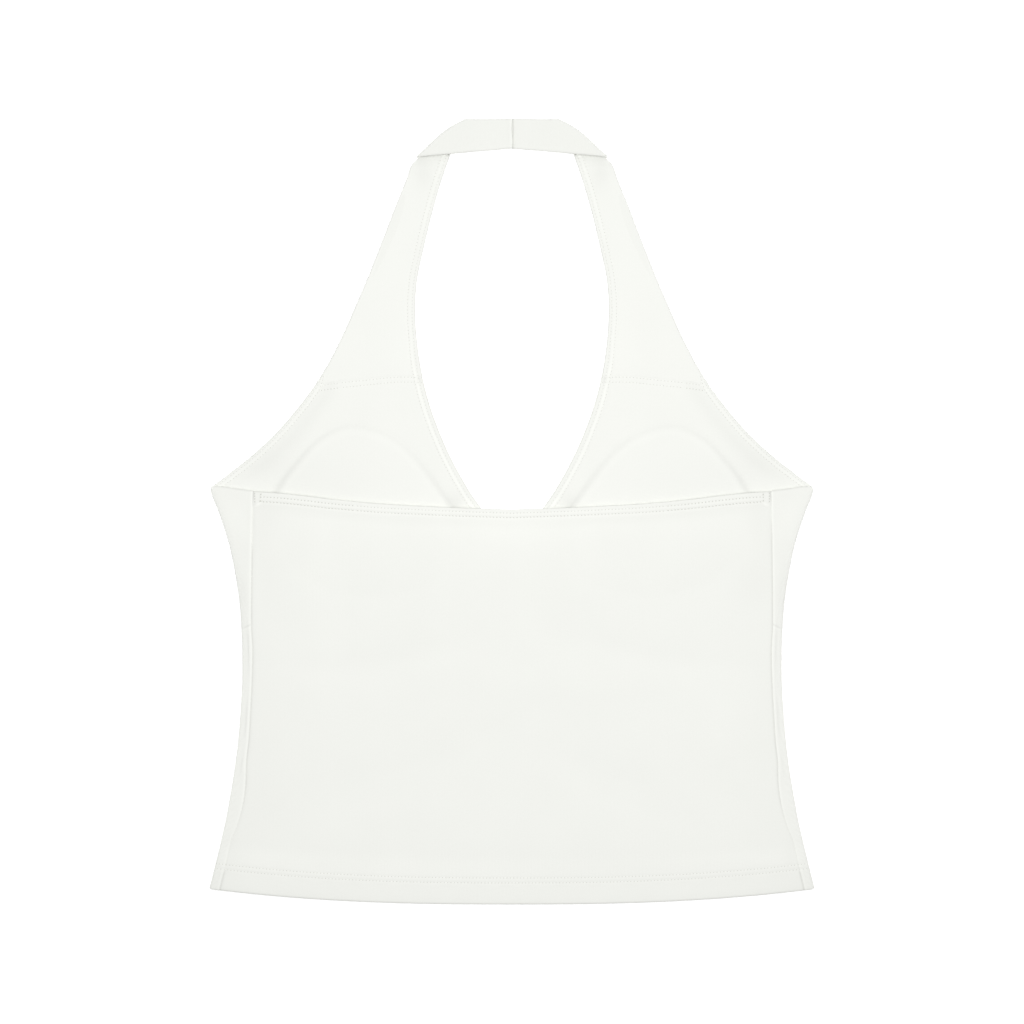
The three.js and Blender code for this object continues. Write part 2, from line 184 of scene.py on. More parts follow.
def pad_dome(share):
    return PAD_RIM + (PAD_CROWN - PAD_RIM) * (1 - share**2)


def lining_lift(x, y):
    share, outside = pad_place(x, y)
    beside = (PAD_RIM + GAP) * (1 - ease(0.4, 4.2, outside))
    return np.where(share < 1, pad_dome(np.minimum(share, 1)) + GAP, beside)


def back_lift(x, y):
    share, outside = pad_place(x, y)
    rim = PAD_RIM + GAP + 0.35
    away = np.maximum(np.hypot(np.abs(x) - PAD_X, y - PAD_Y), 1)
    inward = np.clip((PAD_X - np.abs(x)) / away, 0, 1)
    down = np.clip((PAD_Y - y) / away, 0, 1)
    reach = 18 + 16 * inward**2 + 42 * down**2
    beside = rim * (1 - ease(0, 1, (outside + 1.5) / reach))
    return np.where(share < 1, pad_dome(np.minimum(share, 1)) + GAP + 0.35, beside)


# Soft troughs and ridges that the cloth lies in: middle, direction in degrees, half length,
# half width, and height, below 0 for a trough.
# x, y, degrees, long, wide, height
BACK_CREASES = [
    (-118, -22, 78, 40, 9, -0.35),
    (-52, -34, 96, 44, 12, 0.30),
    (44, -30, 84, 40, 11, 0.28),
    (112, -20, 102, 42, 10, -0.35),
    (-30, -12, 92, 13, 3, -0.22),
    (-38, -14, 88, 12, 2.6, -0.20),
    (47, -12, 90, 13, 3, -0.22),
    (56, -14, 93, 12, 2.6, -0.20),
    (-96, -96, 8, 60, 9, -0.25),
    (20, -110, 176, 70, 12, 0.22),
    (90, -92, 172, 55, 9, -0.25),
    (-140, -140, 70, 48, 10, 0.28),
    (142, -136, 108, 50, 10, 0.26),
    (-70, -168, 20, 62, 13, -0.24),
    (60, -176, 160, 66, 12, -0.22),
    (0, -205, 90, 30, 16, 0.18),
    (-150, -208, 58, 34, 8, -0.30),
    (154, -204, 122, 34, 8, -0.30),
]
BUST_CREASES = [
    (-150, 34, 40, 26, 5, -0.22),
    (-136, 46, 46, 24, 4, 0.18),
    (150, 36, 140, 26, 5, -0.22),
    (134, 48, 134, 24, 4, 0.18),
    (-78, 72, 15, 22, 6, 0.12),
    (82, 70, 165, 22, 6, 0.12),
]
FRONT_CREASES = [
    (-110, -150, 64, 60, 9, 0.5),
    (96, -168, 112, 62, 10, 0.45),
    (10, -120, 172, 80, 8, 0.4),
    (-30, -210, 12, 70, 9, 0.4),
    (-70, 20, 80, 40, 8, 0.35),
    (84, 12, 104, 42, 9, 0.4),
    (0, -45, 90, 30, 10, 0.35),
]
# Soft patches of painted shade, read from the photo's shading, and of painted light where the
# depth is below 0: middle, half width, half height, depth. Those of the sides are the same on both.
# x, y, wide, high, depth
BACK_PATCHES = [
    (0, -10, 36, 16, -0.020),
    (0, -7, 140, 9, -0.012),
    (-118, -60, 12, 90, -0.010),
    (160, -46, 16, 14, 0.012),
    (130, -130, 50, 60, -0.006),
    (90, -232, 60, 9, 0.014),
]
BACK_SIDE_PATCHES = [
    (167.2, 11.4, 0.9, 2.6, 0.07),  # painted shade at the tack
    (163.2, 9.5, 1.6, 4, 0.02),
    (158, -3, 7, 9, 0.012),
    (181, -220, 3.5, 12, 0.014),
]
FLAP_PATCHES = [
    (177, 11, 8, 4, 0.014),
    (181, -4, 7, 9, -0.006),
    (176, -52, 5, 30, 0.03),
    (191, -219, 5, 13, 0.014),
    (193.5, -238, 2.5, 6, 0.02),
]
LINING_PATCHES = [
    (110, 36, 62, 32, 0.009),
    (118, 18, 34, 18, 0.014),
    (158, 30, 18, 12, 0.022),
    (37, 5, 5, 7, 0.06),
    (59.6, 86, 0.8, 3, 0.06),  # painted shade where the yoke seam pulls at the neckline's rows
    (61.6, 86, 0.8, 3, 0.04),
]
STRAP_PATCHES = [
    (40.9, 232.6, 0.8, 0.8, 0.5),  # painted shadow in the small gap where the strap comes out from under the band
    (68, 104, 12, 26, -0.009),
    (58, 221, 6, 10, 0.045),
]
STRAP_HOLLOW = (58, 214, 9, 13, 0.35)  # under the band, by the strap's outer corner


def creases(table, x, y):
    """Height of all the creases of a table at each point."""
    total = np.zeros(np.broadcast(x, y).shape)
    for cx, cy, degrees, half_long, half_wide, height in table:
        turn = math.radians(degrees)
        along = (x - cx) * math.cos(turn) + (y - cy) * math.sin(turn)
        across = -(x - cx) * math.sin(turn) + (y - cy) * math.cos(turn)
        wander = across - 0.06 * half_long * np.sin(along / half_long * 2.1 + cx)
        total += height * np.exp(-((along / half_long) ** 2) - (wander / half_wide) ** 2)
    return total


def patches(table, x, y):
    """Tone of all the patches of a table at each point."""
    total = 0
    for cx, cy, wide, high, depth in table:
        total = total - depth * np.exp(-(((x - cx) / wide) ** 2) - ((y - cy) / high) ** 2)
    return total


def above_hem(x, y):
    """0 in the turned hem and 1 in the single cloth above it."""
    return ease(*HEM_BLEND, y - hem_line(x) - HEM_HEIGHT)


def back_under(x, y):
    """Height of the back's underside, on the layers that it lies on."""
    over_front = CLOTH + GAP
    over_lining = over_front + CLOTH + GAP
    body = mix(over_front, over_lining, ease(-190, -72, y))
    return mix(HEM_CLOTH + GAP, body, above_hem(x, y)) + back_lift(x, y)


def body_cloth(x, y):
    """Thickness of the back and of the lower front."""
    return mix(HEM_CLOTH, CLOTH, above_hem(x, y))


def back_relief(x, y):
    """What stands above or below the even cloth of the back and the flaps: hem rows and creases."""
    up = y - hem_line(x)
    free = ease(0, 12, up - HEM_HEIGHT)
    relief = sum(groove(up, row, 0.7, 0.10) for row in HEM_ROWS)
    relief += groove(up, sum(HEM_ROWS) / 2, 0.9, -0.04)
    # the turned hem ripples a little between its rows and its fold
    ripple = np.sin(x / 3.1 + 1.3 * np.sin(x / 17.0)) * 0.06
    relief += ripple * ease(1.5, 5, up) * (1 - ease(11, 13, up))
    return relief + creases(BACK_CREASES, x, y) * free * 2


def spread(low, high, step):
    """Even places from low to high, about a step apart."""
    return np.linspace(low, high, max(int(round((high - low) / step)) + 1, 2))


def places(*runs):
    """Joins runs of (from, to, step) into one rising list."""
    return np.unique(np.round(np.concatenate([spread(*run) for run in runs]), 4))


def points_of(mesh):
    """The mesh's points, in metres, as rows of x, y and z."""
    co = np.zeros(len(mesh.vertices) * 3)
    mesh.vertices.foreach_get("co", co)
    return co.reshape(-1, 3)


def grid_piece(name, points, uv, thickness, round_edges="", radius=0.5, tone=0.0):
    """A primitive grid shaped to points[row, column], with its own UV map in metres, a weight
    that gives Solidify the thickness at each point, and the tone that its material reads:
    painted light and shade."""
    rows, columns = points.shape[:2]
    bpy.ops.mesh.primitive_grid_add(x_subdivisions=columns - 1, y_subdivisions=rows - 1, size=2)
    piece = bpy.context.object
    piece.name = name
    piece.data.name = name
    flat = points_of(piece.data)
    column = np.round((flat[:, 0] + 1) / 2 * (columns - 1)).astype(int)
    row = np.round((flat[:, 1] + 1) / 2 * (rows - 1)).astype(int)
    shaped = points[row, column] * MM
    piece.data.vertices.foreach_set("co", shaped.ravel())

    share = np.ones((rows, columns))
    for edge in round_edges.split():
        first = {"left": points[:, :1], "right": points[:, -1:],
                 "foot": points[:1], "head": points[-1:]}[edge]
        inward = np.linalg.norm(points - first, axis=2)
        near = np.clip(inward / radius, 0, 1)
        share = np.minimum(share, np.sqrt(np.maximum(1 - (1 - near) ** 2, 0.02)))
    thick = np.broadcast_to(thickness, (rows, columns)) * share
    most = float(thick.max())
    group = piece.vertex_groups.new(name="thickness")
    weight = np.round(thick[row, column] / most, 3)
    for value in np.unique(weight):
        group.add([int(i) for i in np.nonzero(weight == value)[0]], float(value), "REPLACE")

    layer = piece.data.uv_layers.active or piece.data.uv_layers.new(name="UVMap")
    corner = np.zeros(len(piece.data.loops), np.int32)
    piece.data.loops.foreach_get("vertex_index", corner)
    around = (uv[row, column] * MM)[corner]
    layer.data.foreach_set("uv", around.astype(np.float32).ravel())
    shade = piece.data.attributes.new(name="tone", type="FLOAT", domain="POINT")
    toned = np.broadcast_to(tone, (rows, columns))[row, column]
    shade.data.foreach_set("value", toned.astype(np.float32))
    piece.data.update()
    piece["most"] = most * MM
    return piece


def mirrored(piece, left_rim=0.0):
    """Joins a piece to its mirror image across x = 0 and welds the middle. The image's side fold
    may be painted lighter by left_rim, painted light that makes up for the lamps lying further from
    it."""
    other = piece.copy()
    other.data = piece.data.copy()
    bpy.context.collection.objects.link(other)
    co = points_of(other.data)
    tone = np.zeros(len(co))
    shade = other.data.attributes["tone"].data
    shade.foreach_get("value", tone)
    to_fold = SIDE(co[:, 1] / MM) - co[:, 0] / MM
    tone += groove(to_fold, 0, 1.6, -left_rim)
    shade.foreach_set("value", tone.astype(np.float32))
    co[:, 0] *= -1
    other.data.vertices.foreach_set("co", co.ravel())
    other.data.flip_normals()
    return joined([piece, other])


@contextlib.contextmanager
def editing():
    """Edit mode, for the operators inside the block."""
    bpy.ops.object.mode_set(mode="EDIT")
    yield
    bpy.ops.object.mode_set(mode="OBJECT")


def pick(pieces):
    """Selects the pieces only, and makes the first one active."""
    bpy.ops.object.select_all(action="DESELECT")
    for piece in pieces:
        piece.select_set(True)
    bpy.context.view_layer.objects.active = pieces[0]


def joined(pieces):
    """Joins the pieces into the first one and merges the points that meet."""
    pick(pieces)
    bpy.ops.object.join()
    piece = bpy.context.object
    with editing():
        bpy.ops.mesh.select_all(action="SELECT")
        bpy.ops.mesh.remove_doubles(threshold=0.00002)
    return piece


def solid(piece):
    """Gives a sheet its wall, as thick at each point as its weight says."""
    pick([piece])
    with editing():
        bpy.ops.mesh.select_all(action="SELECT")
        bpy.ops.mesh.normals_make_consistent(inside=False)
    wall = piece.modifiers.new("wall", "SOLIDIFY")
    wall.thickness = piece["most"]
    wall.offset = 0
    wall.vertex_group = "thickness"
    wall.thickness_vertex_group = 0
    wall.use_even_offset = False
    bpy.ops.object.modifier_apply(modifier=wall.name)
    bpy.ops.object.shade_smooth_by_angle(angle=math.radians(60))
    return piece


def stack(*parts):
    """x, y and z as points, or x and y as a UV map."""
    return np.stack(np.broadcast_arrays(*parts), axis=-1)


def lengths_along(points):
    """Length along a polyline from its first point to each of its points."""
    return np.concatenate([[0], np.cumsum(np.linalg.norm(np.diff(points, axis=0), axis=1))])


# The back


def seam_fade(y):
    """The side seam is crisp down to the waist and in the hem, and soft between them."""
    return 1 - 0.75 * (1 - ease(*WAIST_FADE, y)) * ease(*HEM_FADE, y)


def back_cloth():
    across = places((-1, -0.955, 0.0022), (-0.955, 0.955, 0.0125), (0.955, 1, 0.0022))
    top = BACK_TOP(np.abs(across * 168.2))
    foot = hem_line(across * 190.2)
    top_steps = places((0, 0.6, 0.15), (0.6, 8.4, 0.42), (8.4, 10, 0.8))
    y = np.concatenate([
        foot + places(*HEM_STEPS)[:, None],
        mix(foot + 20, top - 10, spread(0, 1, 1 / 96)[1:-1, None]),
        top - top_steps[::-1, None],
    ])
    x = across * SIDE_SEAM(y)
    below = top - y
    inward = SIDE_SEAM(y) - np.abs(x)
    cloth = mix(TOP_HEM_CLOTH, body_cloth(x, y), ease(6, 13, below))
    relief = back_relief(x, y) * ease(0, 5, below)
    # the twin rows sink further below the edge towards the side seams
    drop = ease(40, 165, np.abs(x))
    sewn = 1 - ease(162, 165, np.abs(x))
    first, second = TOP_ROWS
    sunk = groove(below - drop * TOP_DROPS[0], first, 0.7, 0.16)
    sunk += groove(below - drop * TOP_DROPS[1], second, 0.7, 0.22)
    relief += sewn * (sunk + groove(below - drop, 3.9, 0.8, -0.05))
    relief += np.sin(x / 2.4 + np.sin(x / 23)) * 0.035 * (1 - ease(5, 8, below))
    relief += groove(inward, 0, 1.6, 0.34 * mix(0.4, 1, seam_fade(y)))
    relief += groove(inward, 4.5, 2.5, -0.05)
    # the tack at the end of the top hem pulls a slanted pucker below it
    out = np.abs(x) - 164.7
    rise = y - 4.7
    down = out * 0.53 + rise * 0.85
    along = out * 0.85 - rise * 0.53
    pucker = np.exp(-((down / 0.7) ** 2) - (along / 2.3) ** 2)
    relief += 0.22 * pucker
    z = np.maximum(back_under(x, y) + relief * 0.9, body_cloth(x, y) + 0.05) + cloth / 2
    up = y - hem_line(x)
    # painted shadow along the top edge and the hem's edge, and painted shade in the twin rows
    tone = groove(below, 0, 0.5, 0.08) + groove(up, 0, 0.8, 0.10) + groove(up, 0, 3.5, 0.02)
    rows = groove(below - drop, first, 0.5, 0.02) + groove(below - drop, second, 0.6, 0.03)
    tone += sewn * rows
    # painted shade along the side seams, softer where the seams open softly below their tacks, the
    # left one further down, and a faint broad painted shade towards them
    soft_foot = np.where(x > 0, -16, -30)
    soft_top = ease(soft_foot, soft_foot + 14, y) * (1 - ease(5, 9, y))
    seam = 0.15 * seam_fade(y) * (1 - 0.75 * soft_top)
    tone += groove(inward, 0.4, 0.7, seam) + groove(inward, 0, 16, 0.008)
    tone += patches(BACK_PATCHES, x, y) + patches(BACK_SIDE_PATCHES, np.abs(x), y)
    # a painted highlight on the pucker, painted light towards the top and painted shade above the
    # hem
    tone += 0.08 * pucker + 0.007 * ease(-70, 5, y) - 0.008 * (1 - ease(-236, -208, y))
    return solid(grid_piece("back_cloth", stack(x, y, z), stack(x, y), cloth, "foot head", 0.8,
                            tone))


# The front: along the surface, round the side fold and over to the side seam


def seam_flap(y_side, row_y):
    """The fold and flap of one side: points[row, column], UV map, thickness, start and tone of
    painted light and shade.
    """
    half = SIDE(y_side)
    edge_y = row_y(half, 1)
    cloth = body_cloth(half, edge_y)
    radius = (back_under(half, edge_y) + cloth) / 2
    start = half - FOLD_REACH
    seam = SIDE_SEAM(row_y(SIDE_SEAM(y_side), 2))
    arc = math.pi * (radius - cloth / 2)

    t = spread(0, 1, 1 / 8)
    turn = t * math.pi - math.pi / 2
    x = start + (FOLD_REACH - cloth / 2) * np.cos(turn)
    y = row_y(x, 1 + t)
    z = radius + (radius - cloth / 2) * np.sin(turn) + back_relief(x, y) * t**2
    fold = stack(x, y, z, half + arc * t)

    t = places((0, 0.6, 0.1), (0.6, 0.86, 0.04), (0.86, 1, 0.012))[1:]
    x = mix(start, seam, t)
    y = row_y(x, 2)
    inward = x - seam
    raised = groove(inward, 1.6, 1.6, -0.14) * seam_fade(y)
    hem_free = ease(6, 14, y - hem_line(x))
    wave = 0.10 * np.sin(y / 5.3 + 2 * np.sin(y / 31)) * groove(inward, 3, 5, -1)
    wave = wave * ease(*WAIST_FADE, y) * hem_free
    z = back_under(x, y) + cloth / 2 + back_relief(x, y) + raised * mix(0.5, 1, hem_free)
    flap = stack(x, y, z + wave, half + arc + (start - x))

    both = np.concatenate([fold, flap], axis=1)
    x, y, _, flat = (both[..., k] for k in range(4))
    rim = half - x
    # painted shade beside the side fold, and painted light on its rim, where the lamps leave it
    # dark, more so higher up
    tone = groove(rim, 0, 7, 0.010) + groove(rim, 0, 1.1, -0.03 - 0.07 * ease(-215, -120, y))
    tone += groove(rim, 0, 3, -0.025) * ease(-110, 0, y) + 0.006 + patches(FLAP_PATCHES, x, y)
    inward = x - seam
    # a painted highlight beside the side seam, and painted shade in it within the hem
    tone += groove(inward, 0.6, 0.5, -0.045) * seam_fade(y)
    tone += groove(inward, 0.1, 0.5, 0.08) * (1 - ease(*HEM_FADE, y))
    # painted shadow along the hem's edge and under the flap's top edge
    up = y - hem_line(x)
    tone += groove(up, 0, 0.8, 0.10) + groove(up, 0, 3.5, 0.02)
    tone += groove(FLAP_TOP(x) - y, 0, 0.6, 0.09)
    # the end of the under-bust seam, a short slanted line of painted shade with painted light
    # beside it
    across = y + 75.1 - (173.6 - x) * 0.5
    end = 1 - ease(173, 175, x)
    tone += end * (groove(across, 0, 0.6, 0.08) + groove(across, -1.4, 0.8, -0.03))
    return both[..., :3], stack(flat, y), np.broadcast_to(cloth, x.shape), start, tone


def front_side(y_side, row_y, inner_x, name, edges):
    """Half of one front piece: its flat part and its flap."""
    flap, flap_uv, flap_thick, start, flap_tone = seam_flap(y_side, row_y)
    t = spread(0, 1, 1 / 34)
    x = mix(inner_x, start, t)
    y = row_y(x, t)
    thick = mix(body_cloth(x, y), flap_thick[:, :1], ease(0.9, 1, t))
    trough = creases(FRONT_CREASES, x, y) * ease(19, 30, y - hem_line(x))
    trough *= 1 - ease(0.8, 0.95, t)
    points = stack(x, y, (thick + trough) / 2)
    return [
        grid_piece(name, points, stack(x, y), thick - trough, edges),
        grid_piece(name + "_flap", flap, flap_uv, flap_thick, edges, 0.5, flap_tone),
    ]


def welded(pieces):
    """Joins pieces after giving them one scale of thickness."""
    most = max(piece["most"] for piece in pieces)
    for piece in pieces:
        ratio = piece["most"] / most
        group = piece.vertex_groups["thickness"]
        for vertex in piece.data.vertices:
            group.add([vertex.index], group.weight(vertex.index) * ratio, "REPLACE")
        piece["most"] = most
    return joined(pieces)


def front_lower_cloth():
    span = UNDER_BUST - SIDE_FOOT
    heights = np.concatenate([
        places(*HEM_STEPS),
        spread(20, span - 4, 2.0)[1:],
        places((span - 4, span, 0.5))[1:],
    ])[:, None]
    y_side = SIDE_FOOT + heights
    # the rows follow the hem at the foot and run level at the under-bust seam
    fade = np.where(heights <= 20, 1.0, (1 - np.minimum(heights / span, 1)) ** 1.2)
    fade = mix(1.0, fade, ease(20, 45, heights))
    near_foot = np.exp(-((heights / 3) ** 2))

    def row_y(x, _):
        into = np.clip((np.abs(x) - SIDE(SIDE_FOOT) + HEM_CORNER) / HEM_CORNER, 0, 1)
        rounded = HEM_CORNER * (1 - np.sqrt(1 - into**2))
        return y_side + (hem_line(x) - SIDE_FOOT) * fade + rounded * near_foot

    pieces = front_side(y_side, row_y, 0.0, "front_lower_cloth", "foot")
    return solid(mirrored(welded(pieces), 0.04))


def front_bust_cloth():
    low = places((UNDER_BUST, UNDER_BUST + 4, 0.5), (UNDER_BUST + 4, NECK_FOOT, 2.2))
    inner_y = np.concatenate([low, places((NECK_FOOT, -11.6, 0.15), (-11.6, 26, 1.0))[1:]])
    inner_y = inner_y[:, None]
    side_y = np.interp(
        inner_y,
        [UNDER_BUST, NECK_FOOT, -11.9, -10.2, -7.2, -2.5, 4.2, 14, 26],
        [UNDER_BUST, NECK_FOOT, -9, -5, -1, 3, 8, 13.4, UNDERARM],
    )
    inner_x = np.where(inner_y > NECK_FOOT, NECKLINE(inner_y), 0.0)
    bend = ease(-30, UNDERARM, side_y)

    def row_y(x, t):
        over = (FLAP_TOP(x) - UNDERARM) * bend * np.clip(t - 1, 0, 1)
        return mix(inner_y, side_y, np.minimum(t, 1)) + over

    pieces = front_side(side_y, row_y, inner_x, "front_bust_cloth", "")
    inner_y_above = places((26, 88.4, 2.6))[:, None]
    side_y_above = np.interp(inner_y_above, [26, 88.4], [UNDERARM, 83.4])
    t = spread(0, 1, 1 / 34)
    outer_x = ARMHOLE(side_y_above) - FOLD_REACH * (1 - ease(26, 34, inner_y_above))
    x = mix(NECKLINE(inner_y_above), outer_x, t)
    y = np.where(inner_y_above > 88, YOKE(x), mix(inner_y_above, side_y_above, t))
    pieces.append(grid_piece("front_bust_upper", stack(x, y, CLOTH / 2), stack(x, y), CLOTH))
    return solid(mirrored(welded(pieces), 0.04))


# The lining, seen above the back's top edge, with the relief of the cup pads


def edge_rows(distance, first, second, strength=1.0):
    """Relief of a turned edge with twin rows: a rolled rim, two troughs and the ridge between."""
    ridge = (first + second) / 2
    rolled = groove(distance, 0.9, 0.6, -0.05) + groove(distance, first, 0.6, 0.20)
    between = groove(distance, ridge + 0.3, 1.0, -0.18)
    return strength * (rolled + between + groove(distance, second + 0.2, 0.7, 0.24))


def distance_to(line, x, y):
    """Distance from each point to a polyline of (x, y) rows."""
    best = np.full(np.broadcast(x, y).shape, 1e9)
    for (ax, ay), (bx, by) in zip(line[:-1], line[1:]):
        length = max((bx - ax) ** 2 + (by - ay) ** 2, 1e-9)
        t = np.clip(((x - ax) * (bx - ax) + (y - ay) * (by - ay)) / length, 0, 1)
        best = np.minimum(best, np.hypot(x - ax - t * (bx - ax), y - ay - t * (by - ay)))
    return best


def edge_tone(distance, first, second, rim=0.12):
    """Painted light and shade of a turned edge: a painted highlight on the ridge between its rows,
    painted shadow at its rim and painted shade in its rows.
    """
    lighter = groove(distance, (first + second) / 2 + 0.3, 1.0, -0.055)
    darker = groove(distance, 0.0, 0.6, rim) + groove(distance, first, 0.5, 0.05)
    return lighter + darker + groove(distance, second + 0.3, 0.5, 0.035)


NECK_HEIGHTS = [NECK_FOOT, *np.arange(-12.3, -7, 0.6), *np.arange(-7, 236, 4.0)]
NECK_EDGE = stack(NECKLINE(NECK_HEIGHTS), NECK_HEIGHTS)
ARM_EDGE = [(ARMHOLE(y), y) for y in np.arange(UNDERARM, 84.5, 2.5)]
STRAP_EDGE = [(ARMHOLE(y), y) for y in np.arange(83, 232, 5.0)]


def neck_rows(y):
    """How far in from the neckline its twin rows lie: further below the yoke than on the strap."""
    wider = 0.65 * (1 - ease(88, 118, y))
    return [row + wider for row in NECK_ROWS]


def yoke_relief(x, y):
    """The twin rows below the yoke, with a ridge between them."""
    below = YOKE(x) - y
    rows = sum(groove(below, row, 0.6, 0.08) for row in YOKE_ROWS)
    rows += groove(below, sum(YOKE_ROWS) / 2, 0.9, -0.03)
    inside = np.clip((x - NECKLINE(y) - 5.2) / 2, 0, 1) * np.clip((ARMHOLE(y) - x - 5) / 2, 0, 1)
    return rows * inside


def bust_lining_cloth():
    edge = 0.35  # the lining stands this much back from the front's edges
    inner_y = places((UNDER_BUST, -20, 2.6), (-20, NECK_FOOT, 1.2), (NECK_FOOT, -11.6, 0.15),
                     (-11.6, 76, 1.3), (76, 88.9, 0.65))[:, None]
    side_y = np.interp(
        inner_y,
        [UNDER_BUST, NECK_FOOT, -10.2, -2.5, 4.2, 14, 26, 76, 88.9],
        [UNDER_BUST, NECK_FOOT, -5, 3, 8, 13.4, UNDERARM, 70, 83.3],
    )
    start = np.where(inner_y > NECK_FOOT, NECKLINE(inner_y) + edge, 0.0)
    to_side = SIDE(side_y) - 2.2
    to_arm = ARMHOLE(side_y) - edge * 1.3
    end = np.where(side_y < UNDERARM - 2, to_side, mix(to_side, to_arm, ease(14.6, 17, side_y)))
    near = places((0, 0.5, 0.1), (0.5, 7, 0.5), (7, 9, 1.0))
    middle = spread(0, 1, 1 / 70)[1:-1]
    inner_part = start + near
    outer_part = end - near[::-1]
    between = mix(inner_part[:, -1:], outer_part[:, :1], middle)
    x = np.concatenate([inner_part, between, outer_part], axis=1)
    y = mix(inner_y, side_y, (x - start) / (end - start))
    y = mix(y, YOKE(x) + (inner_y - 88.9), ease(80, 88.9, inner_y))
    neck_far = distance_to(NECK_EDGE, x, y)
    arm_far = distance_to(ARM_EDGE, x, y)
    relief = edge_rows(neck_far, *neck_rows(y), 0.8) + edge_rows(arm_far, *ARM_ROWS, 0.4)
    relief *= ease(-14, -12, np.maximum(y, -13))
    relief += yoke_relief(x, y) + creases(BUST_CREASES, x, y) * ease(2, 10, arm_far)
    # the ridge round the pad, where its edge presses through
    _, outside = pad_place(x, y)
    relief += groove(outside, 3.4, 2.2, 0.16)
    base = mix(CLOTH + GAP, STRAP - CLOTH, ease(80, 88.5, inner_y))
    points = stack(x, y, base + lining_lift(x, y) + CLOTH / 2 + relief)
    # painted light and shade of the turned edges, painted shade in a band inside the armhole, and
    # the patches
    tone = edge_tone(neck_far, *neck_rows(y)) + 0.5 * edge_tone(arm_far, *ARM_ROWS, 0.2)
    tone += groove(arm_far, 9.5, 5.0, 0.030) * ease(14, 30, y) + patches(LINING_PATCHES, x, y)
    # painted shadow on the lining just above the back's and the flaps' top edges
    over = y - np.where(x < 168, BACK_TOP(x), FLAP_TOP(x))
    tone += groove(np.maximum(over, 0), 0, 0.7, 0.03 + 0.07 * ease(100, 140, x))
    # painted shadow beside the pad's edge, stronger lower down, and a faint painted highlight just
    # inside it
    low = 1 - 0.6 * ease(5, 45, y)
    tone += low * groove(outside, 2.8, 2.2, 0.075) + groove(outside, -1.6, 1.8, -0.010)
    half = grid_piece("bust_lining_cloth", points, stack(x, y), CLOTH, "right", 0.5, tone)
    return solid(mirrored(half))


# The cup pads: foam, flat below


def cup_foam(side, name):
    turns = spread(0, 360, 6)
    shares = np.array([0.0, *spread(0.08, 0.9, 0.08), 0.94, 0.97, 0.99, 1.0])[:, None]
    radius = (PAD_OUTLINE(turns % 360) - PAD_INSET) * shares
    x = PAD_X + radius * np.cos(np.radians(turns))
    y = PAD_Y + radius * np.sin(np.radians(turns))
    dome = pad_dome(shares) * np.sqrt(np.maximum(1 - shares**12, 0.04))
    piece = grid_piece(name, stack(side * x, y, CLOTH + GAP + dome / 2), stack(x, y), dome)
    return solid(joined([piece]))


# The straps, from the yoke over the shoulder fold to the seam at the back of the neck


def fold_path():
    """A function that gives the fold's place and outward direction at a length along it."""
    points = np.array(SHOULDER_FOLD)
    run = lengths_along(points)
    fx = curve(np.column_stack([run, points[:, 0]]))
    fy = curve(np.column_stack([run, points[:, 1]]))

    def read(length):
        dx = fx(length + 0.5) - fx(length - 0.5)
        dy = fy(length + 0.5) - fy(length - 0.5)
        norm = np.hypot(dx, dy)
        return fx(length), fy(length), dy / norm, -dx / norm

    return read


